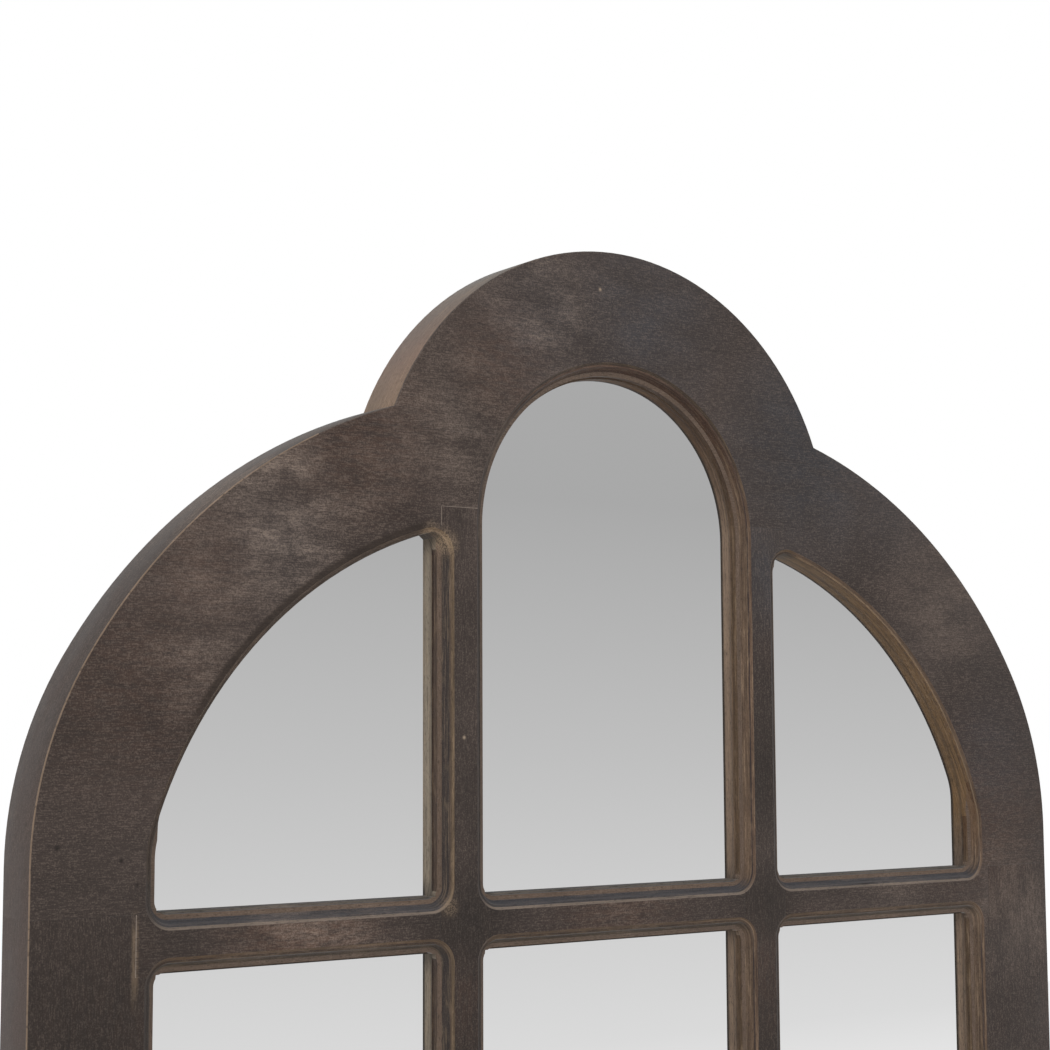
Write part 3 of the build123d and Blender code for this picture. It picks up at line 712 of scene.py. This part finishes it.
def makeWood(s):
    wood = newMaterial("stainedHardwoodRubbedBack")
    found = {name: linear(colour) for name, colour in s["colours"].items()}
    found["place"] = addNode(wood, "TexCoord", output="Object")
    found["grain"] = addNode(wood, "UVMap", uv_map="grain")
    found["tone"] = addNode(wood, "Attribute", output="Color", attribute_name="tone")
    found["tanned"] = found["tone"].node.outputs["Alpha"]
    for name in ("streaked", "flatFace"):
        found[name] = addNode(wood, "Attribute", output="Fac", attribute_name=name)
    parts = addNode(wood, "SeparateXYZ", (found["place"],)).node.outputs
    found["across"], found["inward"], found["height"] = parts
    found["fromArc"] = addNode(wood, "VectorMath", (found["place"], s["arcCentre"]), "Value", operation="DISTANCE")
    addPatterns(wood, found, s["patterns"])
    addZones(wood, found, s["zones"])
    addSteps(wood, found, s["steps"])
    level = addNode(wood, "Math", (found["patchLevel"], found["streakLevel"]), operation="ADD")
    colour = addNode(wood, "VectorMath", {0: found["colour"], 3: level}, operation="SCALE")
    bump = addNode(wood, "Bump", {"Strength": s["bump"], "Distance": s["bumpDepth"], "Height": found["grainHeight"]})
    shader = addNode(wood, "BsdfPrincipled", {"Base Color": colour, "Roughness": found["rough"],
                                              "Specular IOR Level": s["specular"], "Normal": bump})
    addNode(wood, "OutputMaterial", (shader,))
    return wood


woodMaterial = makeWood(woodFinish)
edgeWear = {"arris": 0.0007, "backArris": 0.0009, "seam": 0.00035}  # metres rubbed off each kind of edge
edgePairs = {"arris": {"front", "side"}, "backArris": {"back", "side"}, "seam": {"front", "joint"}}
cutSettings = {"beside": 12, "aboveTransom": (-29, -17, 17, 29), "belowTop": (30, 12), "smooth": radians(34)}
woodPieces = {"crown": True, "left_shoulder": True, "right_shoulder": True, "bottom_rail": True,
              "left_stile": False, "right_stile": False, "left_muntin": False, "right_muntin": False}
for level in ("upper", "middle", "lower"):
    for side in ("left", "centre", "right"):
        woodPieces[f"{side}_{level}_transom"] = True


def finishWood(nodeName, acrossX, s, t):
    piece = weldedCopy(nodeName)
    if nodeName.endswith(("stile", "muntin")):
        cutAcross(piece, 2, [level + step for level in s["transoms"] for step in t["aboveTransom"]])
        cutAcross(piece, 2, [s["railTop"], s["railTop"] + t["beside"]])
        cutAcross(piece, 2, [s["muntinTop"] - step for step in t["belowTop"]])
    elif nodeName.endswith(("transom", "rail")):
        ends = [s["muntinInner"], s["muntinInner"] - t["beside"], s["muntinOuter"], s["muntinOuter"] + t["beside"],
                s["stileWall"] - t["beside"]]
        cutAcross(piece, 0, [sign * end for sign in (-1, 1) for end in ends])
    for key, width in edgeWear.items():
        kinds = sortFaces(piece.data)
        wanted = [index for index, faces in enumerate(edgeFaces(piece.data))
                  if len(faces) == 2 and {kinds[faces[0]], kinds[faces[1]]} == edgePairs[key]]
        bevelEdges(piece, wanted, width)
    splitBroadFaces(piece)
    paintTones(piece, acrossX, toneSettings)
    piece.data.materials.clear()
    piece.data.materials.append(woodMaterial)
    onlySelect(piece)
    bpy.ops.object.shade_smooth_by_angle(angle=t["smooth"])
    piece.visible_glossy = False
    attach(piece, "frame")
    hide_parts(nodeName)


for nodeName, acrossX in woodPieces.items():
    finishWood(nodeName, acrossX, woodSizes, cutSettings)
print("wooden members finished")

# Float glass silvered behind: a clear, even reflection
mirrorFinish = {"colour": "#fafafa", "roughness": 0.0}
# Sheet zinc plating: bright grey, dulled in soft clouds, with fine rolling marks
zincFinish = {
    "colours": {"light": "#c2c4c6", "dull": "#95989b"},
    "patterns": {"cloud": ("place", (9.0, 9.0, 9.0), 3.0, 0.55, (0, 0, 0)),
                 "roll": ("place", (0.25, 0.25, 12.0), 1.0, 0.55, (0, 0, 0))},
    "steps": {"clouds": ("ease", "cloud", 0.3, 0.7), "colour": ("mix", "clouds", "light", "dull"),
              "rough": ("ease", "roll", 0.3, 0.7, 0.28, 0.46)},
    "height": "roll", "bump": 0.15, "bumpDepth": 0.0001, "shader": {"Metallic": 1.0},
}
# Pressed wool felt: matt dark grey with a fuzzy edge
feltFinish = {
    "colours": {"dark": "#3f3d3b", "light": "#5f5b57"},
    "patterns": {"fuzz": ("place", (0.6, 0.6, 0.6), 4.0, 0.7, (0, 0, 0))},
    "steps": {"clumps": ("ease", "fuzz", 0.3, 0.7), "colour": ("mix", "clumps", "dark", "light")},
    "height": "fuzz", "bump": 0.6, "bumpDepth": 0.0004, "shader": {"Roughness": 0.95, "Sheen Weight": 0.35},
}
# Rotary-cut poplar plywood: pale, with long soft bands. Hard-pressed fibreboard: an even brown, finely flecked.
# Turned beech: pale pink-brown, with short flecks along the rod
boardFinishes = {
    "rotaryCutPoplarPlywood": {"low": "#a88a64", "high": "#cbb28a", "sizesMm": (7.0, 40.0, 260.0), "bump": 0.15},
    "hardPressedFibreboard": {"low": "#6b4c33", "high": "#87654a", "sizesMm": (1.2, 1.2, 1.2), "bump": 0.1},
    "turnedBeech": {"low": "#b98d63", "high": "#d9b58a", "sizesMm": (0.8, 0.8, 9.0), "bump": 0.1},
}


def makeMirror(s):
    glass = newMaterial("silveredFloatGlass")
    shader = addNode(glass, "BsdfPrincipled", {"Base Color": linear(s["colour"]), "Metallic": 1.0,
                                               "Roughness": s["roughness"]})
    addNode(glass, "OutputMaterial", (shader,))
    return glass


def makePlain(name, s):  # zinc, felt and boards are each a colour between two, with a bump from one pattern
    material = newMaterial(name)
    found = {key: linear(colour) for key, colour in s["colours"].items()}
    found["place"] = addNode(material, "TexCoord", output="Object")
    addPatterns(material, found, s["patterns"])
    addSteps(material, found, s["steps"])
    bump = addNode(material, "Bump", {"Strength": s["bump"], "Distance": s["bumpDepth"],
                                      "Height": found[s["height"]]})
    values = {"Base Color": found["colour"], "Normal": bump, **s["shader"]}
    if "rough" in found:
        values["Roughness"] = found["rough"]
    shader = addNode(material, "BsdfPrincipled", values)
    addNode(material, "OutputMaterial", (shader,))
    return material


def boardFinish(s):
    return {
        "colours": {"low": s["low"], "high": s["high"]},
        "patterns": {"figure": ("place", s["sizesMm"], 5.0, 0.6, (0, 0, 0)),
                     "fleck": ("place", (0.7, 3.0, 9.0), 2.0, 0.55, (0, 0, 0))},
        "steps": {"fleckShare": ("multiply", "fleck", 0.2), "share": ("multiply_add", "figure", 0.8, "fleckShare"),
                  "bands": ("ease", "share", 0.3, 0.7), "colour": ("mix", "bands", "low", "high")},
        "height": "share", "bump": s["bump"], "bumpDepth": 0.0003,
        "shader": {"Roughness": 0.6, "Specular IOR Level": 0.3},
    }


boards = {name: makePlain(name, boardFinish(s)) for name, s in boardFinishes.items()}
zinc, felt = makePlain("zincPlatedRolledSteel", zincFinish), makePlain("pressedWoolFelt", feltFinish)
keptNodes = {"mirror_sheet": makeMirror(mirrorFinish), "packing_board": boards["hardPressedFibreboard"],
             "back_panel": boards["rotaryCutPoplarPlywood"], "frame_dowels": boards["turnedBeech"]}
for nodeName, material in keptNodes.items():
    for slot in frame["nodes"][nodeName].material_slots:
        slot.material = material
print("mirror, boards and dowels finished")

# Hardware on the back: sheet and wire edges are tumbled slightly round before plating; widths in metres
hardware = {"turn_button_screws": ("frame", 0, zinc), "strap_screws": ("frame", 0, zinc)}
for side in ("left", "right"):
    hardware[f"{side}_hanging_strap"] = ("frame", 0.0003, zinc)
    hardware[f"{side}_d_ring"] = (f"{side}_d_ring", 0, zinc)
    hardware[f"{side}_wall_bumper"] = ("frame", 0.0008, felt)
for place in ("crown", "rail", "left_low", "left_middle", "left_high", "right_low", "right_middle", "right_high"):
    hardware[f"{place}_turn_button"] = (f"{place}_turn_button", 0.0003, zinc)
hardwareAngles = {"sharp": radians(50), "smooth": radians(40)}

# The turn buttons' slotted pan heads are rounded at the rim, and the straps' countersunk heads get a pressed cross,
# each left at the angle its screw was driven to; sizes in millimetres, angles in degrees
panHeads = {"top": 3.8, "rimRadius": 3.8, "round": 0.8, "segments": 4, "topGap": 0.01, "rimGap": 0.02,
            "at": [(0, 463), (0, -921)] + [(x, z) for x in (-342, 342) for z in (-162, -505.5, -849)]}
crossHeads = {"top": 1.5, "arm": 1.65, "wide": 0.8, "deep": 1.0, "taper": 0.4, "firstTurn": 17, "nextTurn": 37,
              "at": [(x, z) for x in (-364, 364) for z in (-14.56, -40.56)]}


def roundPanHeads(piece, s):
    mesh = piece.data
    centres = np.array(s["at"])
    rims = []
    for edge in mesh.edges:
        ends = [mesh.vertices[i].co * 1000 for i in edge.vertices]
        reach = [np.linalg.norm(centres - (end.x, end.z), axis=1).min() for end in ends]
        if min(end.y for end in ends) > s["top"] - s["topGap"] and min(reach) > s["rimRadius"] - s["rimGap"]:
            rims.append(edge.index)
    bevelEdges(piece, rims, s["round"] / 1000, s["segments"])


def crossCutter(s, quarter):  # one arm of every screw's recess, narrower at its floor
    bpy.ops.object.select_all(action="DESELECT")
    arms = []
    for i, (x, z) in enumerate(s["at"]):
        centre = (x / 1000, s["top"] / 1000, z / 1000)
        turn = radians(s["firstTurn"] + s["nextTurn"] * i + quarter)
        bpy.ops.mesh.primitive_cube_add(size=1, location=centre, rotation=(0, turn, 0))
        arm = bpy.context.object
        arm.scale = (2 * s["arm"] / 1000, 2 * s["deep"] / 1000, s["wide"] / 1000)
        bpy.ops.object.transform_apply(location=True, rotation=True, scale=True)
        bpy.ops.object.mode_set(mode="EDIT")
        bpy.ops.mesh.select_mode(type="VERT")
        bpy.ops.mesh.select_all(action="DESELECT")
        bpy.ops.object.mode_set(mode="OBJECT")
        for vertex in arm.data.vertices:
            vertex.select = vertex.co.y < centre[1]
        bpy.ops.object.mode_set(mode="EDIT")
        bpy.ops.transform.resize(value=(s["taper"], 1, s["taper"]), center_override=centre)
        bpy.ops.object.mode_set(mode="OBJECT")
        arms.append(arm)
    for arm in arms:
        arm.select_set(True)
    bpy.ops.object.join()
    return bpy.context.object


def cutCrosses(piece, s):
    for quarter in (0, 90):
        cutter = crossCutter(s, quarter)
        onlySelect(piece)
        recess = piece.modifiers.new("recess", "BOOLEAN")
        recess.operation, recess.solver, recess.object = "DIFFERENCE", "EXACT", cutter
        bpy.ops.object.modifier_apply(modifier="recess")
        bpy.data.objects.remove(cutter)


def finishHardware(nodeName, body, width, material):
    piece = weldedCopy(nodeName)
    if nodeName == "turn_button_screws":
        roundPanHeads(piece, panHeads)
    elif nodeName == "strap_screws":
        cutCrosses(piece, crossHeads)
    elif width:
        mesh = piece.data
        normals = [p.normal for p in mesh.polygons]
        sharp = [index for index, faces in enumerate(edgeFaces(mesh))
                 if len(faces) == 2 and normals[faces[0]].angle(normals[faces[1]], 0) > hardwareAngles["sharp"]]
        bevelEdges(piece, sharp, width)
    splitBroadFaces(piece)
    piece.data.materials.clear()
    piece.data.materials.append(material)
    onlySelect(piece)
    bpy.ops.object.shade_smooth_by_angle(angle=hardwareAngles["smooth"])
    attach(piece, body)
    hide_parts(nodeName)


for nodeName, (body, width, material) in hardware.items():
    finishHardware(nodeName, body, width, material)
print("hardware finished")

bpy.context.scene.view_settings.view_transform = "Standard"
